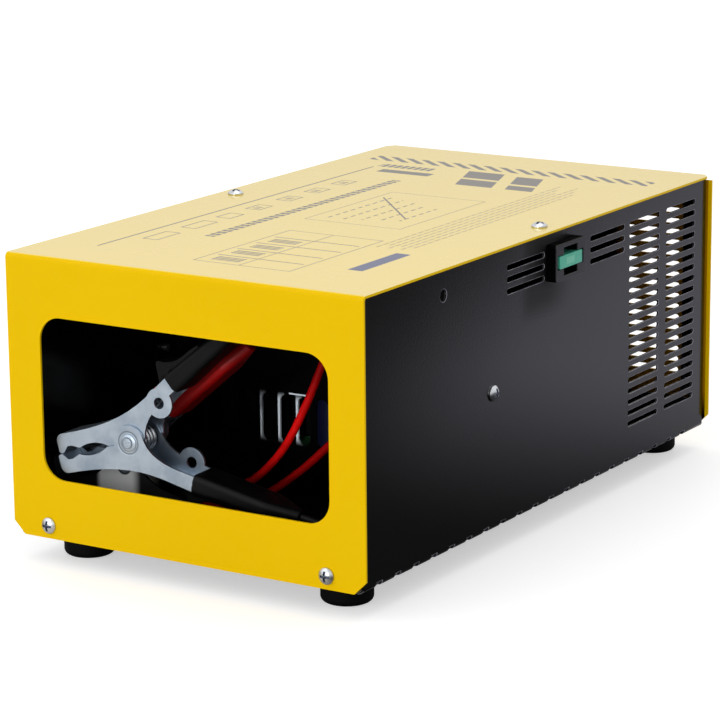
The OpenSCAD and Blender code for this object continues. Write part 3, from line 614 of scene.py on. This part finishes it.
def soft_boot(node):
    """A vinyl boot, remeshed from its solid and smoothed."""
    piece = copied(node, node + "_soft", flat=0.1)
    remesh = piece.modifiers.new("skin", "REMESH")
    remesh.mode, remesh.voxel_size, remesh.use_smooth_shade = "VOXEL", 0.5 * MM, True
    rounding = piece.modifiers.new("rounding", "SMOOTH")
    rounding.factor, rounding.iterations = 0.5, 5
    plain_mesh(piece)
    seat(piece, node)
    return piece


# Leads: each goes out along a route, round the stored coil, and back along a route to its clamp
LEAD_D = 0.004
LEAD_SIDES = 12
COIL_AT = Vector((0.066, -0.087, 0))
COIL_R = 0.021
BLACK_COIL_Z, RED_COIL_Z = 0.0212, 0.0316
# The routes are in millimetres, as in the solids
RED_OUT = [(60, -33, 70), (60, -40, 70), (60, -47, 70), (60, -54, 70), (59.3, -62, 68.8),
           (56.5, -69.5, 65.5), (50.5, -75.5, 59.5), (44, -79, 52), (39, -81, 43), (36.8, -85.5, 35),
           (37.5, -92, 30.5), (43, -98.5, 29.6)]
RED_BACK = [(88, -100.5, 38), (90, -95, 46.5), (89, -91.5, 56), (86, -90, 66), (77, -91, 79), (62, -90, 81),
            (44, -89, 69), (26, -90, 53), (12, -91, 40), (-5, -92, 27), (-17, -95, 20), (-26, -100, 21),
            (-21, -104, 28), (-7, -103, 36), (9, -103, 53), (22, -103, 76), (32, -103, 98), (40, -104, 114),
            (53, -107, 125), (70, -112, 122), (83, -118, 107), (88, -123, 85), (89, -126, 62),
            (86, -129.5, 42), (77, -133, 26), (64, -136, 17.6), (53, -137, 16.3), (43.6, -137.3, 16.2),
            (34, -137.6, 18.2), (20, -138, 21.3), (2, -138.4, 25.2), (-21, -138.9, 30.4)]
BLACK_OUT = [(80, -33, 70), (80, -40, 70), (80, -47, 70), (81, -58, 69), (86, -66, 59), (91, -68, 47),
             (92.3, -69.7, 37.5), (93.5, -74, 31), (94, -80.5, 27), (92, -88.5, 25.2)]
BLACK_BACK = [(90.3, -91, 18), (91.5, -101, 21), (93, -117, 23), (92, -133, 27), (86, -146, 31),
              (74, -154.4, 34.9), (62, -156.5, 36.9), (52, -156.8, 38.8), (40, -157.2, 41.1),
              (18, -157.9, 45.4), (-2, -158.4, 49.2)]
# Where each turn of a coil lies: steps outwards and up from the coil's middle, in leads
RED_PLACES = [(1, -0.5), (0, -0.5), (0, 0.5), (1, 0.5)]
BLACK_PLACES = [(1, 1), (0, 1), (-1, 1), (-1, 0), (0, 0), (1, 0), (1, -1)]
# Angle in degrees at which each lead joins its coil, and its turns there, negative where they run clockwise
RED_START, RED_TURNS = 215, 3.25
BLACK_START, BLACK_TURNS = -8, -6.93


def turns(middle_z, start, count, places):
    """Points of a coil's turns. Each turn steps over to the next place before it ends, later ones sooner."""
    steps_a_turn = 24
    step_at, step_earlier, step_length = 0.9, 0.075, 0.1
    sense = math.copysign(1, count)
    points = []
    for i in range(int(abs(count) * steps_a_turn) + 1):
        turned = i / steps_a_turn
        lap = min(int(turned), len(places) - 1)
        change = ((turned - lap) - step_at + step_earlier * lap) / step_length
        share = min(max(change, 0), 1)
        share = share * share * (3 - 2 * share)
        here, after = places[lap], places[min(lap + 1, len(places) - 1)]
        radius = COIL_R + LEAD_D * (here[0] + (after[0] - here[0]) * share)
        height = middle_z + LEAD_D * (here[1] + (after[1] - here[1]) * share)
        angle = math.radians(start + sense * turned * 360)
        across, along = COIL_AT.x + radius * math.cos(angle), COIL_AT.y + radius * math.sin(angle)
        points.append(Vector((across, along, height)))
    return points


def between(before, first, second, after, t):
    """A point on a smooth curve from the first point to the second."""
    bend = 2 * before - 5 * first + 4 * second - after
    twist = 3 * first - before - 3 * second + after
    return 0.5 * (2 * first + (second - before) * t + bend * t * t + twist * t ** 3)


def smooth_line(points, spacing=6 * MM, steps=8):
    """A smooth line through the points, at even spacing."""
    last = len(points) - 1
    dense = []
    for i in range(last):
        around = points[max(i - 1, 0)], points[i], points[i + 1], points[min(i + 2, last)]
        dense += [between(*around, k / steps) for k in range(steps)]
    dense.append(points[-1])
    line, carried = [dense[0]], 0.0
    for a, b in zip(dense, dense[1:]):
        stretch = (b - a).length
        while carried + stretch >= spacing:
            a = a + (b - a) * ((spacing - carried) / (b - a).length)
            stretch, carried = (b - a).length, 0.0
            line.append(a)
        carried += stretch
    if (line[-1] - dense[-1]).length < spacing / 2:
        line[-1] = dense[-1]
    else:
        line.append(dense[-1])
    return line


def lead_tree():
    """Geometry nodes that give a line a round jacket."""
    tree = bpy.data.node_groups.new("lead_jacket", "GeometryNodeTree")
    face, new, link = tree.interface, tree.nodes.new, tree.links.new
    for name, kind in (("Line", "NodeSocketGeometry"), ("Radius", "NodeSocketFloat"),
                       ("Sides", "NodeSocketInt"), ("Finish", "NodeSocketMaterial")):
        face.new_socket(name, in_out="INPUT", socket_type=kind)
    face.new_socket("Jacket", in_out="OUTPUT", socket_type="NodeSocketGeometry")
    given, made = new("NodeGroupInput"), new("NodeGroupOutput")
    to_curve, ring = new("GeometryNodeMeshToCurve"), new("GeometryNodeCurvePrimitiveCircle")
    sweep, rounded = new("GeometryNodeCurveToMesh"), new("GeometryNodeSetShadeSmooth")
    real, finish = new("GeometryNodeRealizeInstances"), new("GeometryNodeSetMaterial")
    link(given.outputs["Line"], to_curve.inputs[0])
    link(given.outputs["Radius"], ring.inputs["Radius"])
    link(given.outputs["Sides"], ring.inputs["Resolution"])
    link(to_curve.outputs[0], sweep.inputs["Curve"])
    link(ring.outputs["Curve"], sweep.inputs["Profile Curve"])
    sweep.inputs["Fill Caps"].default_value = True
    link(sweep.outputs[0], rounded.inputs["Geometry"])
    link(rounded.outputs[0], real.inputs[0])
    link(real.outputs[0], finish.inputs["Geometry"])
    link(given.outputs["Finish"], finish.inputs["Material"])
    link(finish.outputs[0], made.inputs[0])
    return tree


JACKET = lead_tree()


def set_input(modifier, name, value):
    for item in modifier.node_group.interface.items_tree:
        if item.item_type == "SOCKET" and item.in_out == "INPUT" and item.name == name:
            modifier[item.identifier] = value


def make_lead(colour, out, coil, back):
    """One lead, whole: out of its grommet, round its coil, and back to its clamp."""
    node = colour + "_lead"
    line = smooth_line([Vector(p) * MM for p in out] + coil + [Vector(p) * MM for p in back])
    mesh = bpy.data.meshes.new(node + "_cord")
    mesh.from_pydata([tuple(p) for p in line], [(i, i + 1) for i in range(len(line) - 1)], [])
    lead = bpy.data.objects.new(node + "_cord", mesh)
    scene.collection.objects.link(lead)
    jacket = lead.modifiers.new("jacket", "NODES")
    jacket.node_group = JACKET
    set_input(jacket, "Radius", LEAD_D / 2)
    set_input(jacket, "Sides", LEAD_SIDES)
    set_input(jacket, "Finish", finish_of(node))
    plain_mesh(lead)
    seat(lead, node, colour + "_coil")
    length = sum((b - a).length for a, b in zip(line, line[1:]))


def clamp_piece(colour, part):
    node = f"{colour}_{part}"
    if node == "black_upper_boot":
        # This boot stays the plain solid, because it reaches too far from its lead for a new piece
        return nodes[node]
    if part.endswith("boot"):
        return soft_boot(node)
    if part.endswith("jaw"):
        return eased(node, 0.45 * MM, 40, 3)
    return eased(node, 0.12 * MM, 50)


CLAMP_PARTS = ("fixed_jaw", "moving_jaw", "rivet", "spring", "lower_boot", "upper_boot")
black_clamp = [clamp_piece("black", part) for part in CLAMP_PARTS]
red_clamp = [clamp_piece("red", part) for part in CLAMP_PARTS]
make_lead("red", RED_OUT, turns(RED_COIL_Z, RED_START, RED_TURNS, RED_PLACES), RED_BACK)
make_lead("black", BLACK_OUT, turns(BLACK_COIL_Z, BLACK_START, BLACK_TURNS, BLACK_PLACES), BLACK_BACK)

# Folded, turned and moulded pieces, and how far their edges are eased, in millimetres
EASED = {"cover": 0.3, "chassis": 0.28, "partition": 0.25, "fuse_holder": 0.3, "blade_fuse": 0.4,
         "foot_front_left": 0.4, "foot_front_right": 0.4, "foot_rear_left": 0.4, "foot_rear_right": 0.4,
         "front_screws": 0.15, "rear_screws": 0.15, "top_screws": 0.15, "partition_screws": 0.15,
         "mains_inlet": 0.3, "indicator_lenses": 0.1, "lead_grommets": 0.4, "capacitors": 0.6,
         "transformer_winding": 0.5, "transformer_frame": 0.3, "output_terminals": 0.4}
for node, width in EASED.items():
    eased(node, width * MM)

# The other solids stay as they are, with a finish
replaced = {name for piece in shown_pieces() for name in piece.get("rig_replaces", [])}
for node, piece in nodes.items():
    if node not in replaced:
        piece.data.materials.clear()
        piece.data.materials.append(finish_of(node))


def grey(level):
    return (level, level, level, 1)


def make_floor():
    """A pale floor, painted dark for glossy rays beside the case but for one soft pale patch: a painted
    reflection in the glossy sides.
    """
    mesh = bpy.data.meshes.new("floor")
    reach = 6
    corners = [(-reach, -reach, 0), (reach, -reach, 0), (reach, reach, 0), (-reach, reach, 0)]
    mesh.from_pydata(corners, [], [(0, 1, 2, 3)])
    floor = bpy.data.objects.new("floor", mesh)
    scene.collection.objects.link(floor)
    f = Finish("floor_white", Roughness=0.6, Specular_IOR_Level=0.2)
    x, y, _ = f.xyz()
    right = f.soft(x, 0.05, 0.12) * f.soft(y, -0.5, -0.25)
    left = f.soft(x, -0.1, -0.18) * f.soft(y, -0.32, -0.18)
    patch = f.soft(y, -0.05, 0.33) * f.soft(x - y * 0.35, 0.295, 0.165) * (x > 0)
    pale = f.blend(f.noise(3, 2), grey(0.8), grey(0.82))
    # Painted reflection: what glossy rays see beside the case is dark, but for a soft bluish patch
    dim = f.blend(patch, grey(0.015), (0.74, 0.74, 0.86, 1))
    mirrored = f.node("ShaderNodeLightPath", out="Is Glossy Ray")
    seen = f.node("ShaderNodeLightPath", out="Is Camera Ray")
    # What the camera sees glows a little, so the floor stays near white round the object's shadow
    f.set(Base_Color=f.blend(mirrored * (right | left), pale, dim), Emission_Strength=1.0,
          Emission_Color=f.blend(seen, grey(0), grey(0.5)))
    mesh.materials.append(f.material)


def make_world():
    """Soft light all round, a white background for the camera, and a dimmer room for reflections."""
    world = bpy.data.worlds.new("studio")
    scene.world = world
    world.use_nodes = True
    tree = world.node_tree
    tree.nodes.clear()
    new, link = tree.nodes.new, tree.links.new

    def background(level):
        made = new("ShaderNodeBackground")
        made.inputs["Color"].default_value = grey(1)
        made.inputs["Strength"].default_value = level
        return made

    soft, mirror, white = background(0.58), background(1), background(1)
    # Reflections see a bright ceiling above dimmer walls
    coord, split, ramp = new("ShaderNodeTexCoord"), new("ShaderNodeSeparateXYZ"), new("ShaderNodeValToRGB")
    link(coord.outputs["Generated"], split.inputs[0])
    link(split.outputs["Z"], ramp.inputs[0])
    walls, ceiling = ramp.color_ramp.elements
    walls.position, walls.color = 0.0, (0.28, 0.28, 0.29, 1)
    ceiling.position, ceiling.color = 0.22, grey(1)
    link(ramp.outputs[0], mirror.inputs["Color"])
    path, glossy, camera = new("ShaderNodeLightPath"), new("ShaderNodeMixShader"), new("ShaderNodeMixShader")
    link(path.outputs["Is Glossy Ray"], glossy.inputs[0])
    link(soft.outputs[0], glossy.inputs[1])
    link(mirror.outputs[0], glossy.inputs[2])
    link(path.outputs["Is Camera Ray"], camera.inputs[0])
    link(glossy.outputs[0], camera.inputs[1])
    link(white.outputs[0], camera.inputs[2])
    link(camera.outputs[0], new("ShaderNodeOutputWorld").inputs[0])


def hang_lamp(name, data, at, aim):
    lamp = bpy.data.objects.new(name, data)
    lamp.location = at
    lamp.rotation_mode = "QUATERNION"
    lamp.rotation_quaternion = (Vector(aim) - Vector(at)).to_track_quat("-Z", "Y")
    scene.collection.objects.link(lamp)


def make_soft_lamp(name, at, size, power):
    """A round soft lamp that looks at the object's middle."""
    data = bpy.data.lights.new(name, "AREA")
    data.shape, data.size, data.energy = "DISK", size, power
    hang_lamp(name, data, at, (0, 0, 0.07))


def make_window_light():
    """A narrow light through the window, on the leads and the strips behind them."""
    data = bpy.data.lights.new("window_light", "SPOT")
    data.spot_size, data.spot_blend = math.radians(2.4), 0.5
    data.shadow_soft_size, data.energy = 0.01, 45
    hang_lamp("window_light", data, (0.3, -1.3, 0.42), (-0.008, -0.07, 0.06))


make_floor()
make_world()
make_soft_lamp("key", (-0.9, -1.7, 1.3), 2.4, 12)
make_soft_lamp("overhead", (0.1, 0.2, 1.9), 1.6, 6)
make_soft_lamp("front", (0.3, -2.2, 0.5), 1.0, 7)
make_window_light()
scene.view_settings.view_transform = "Standard"
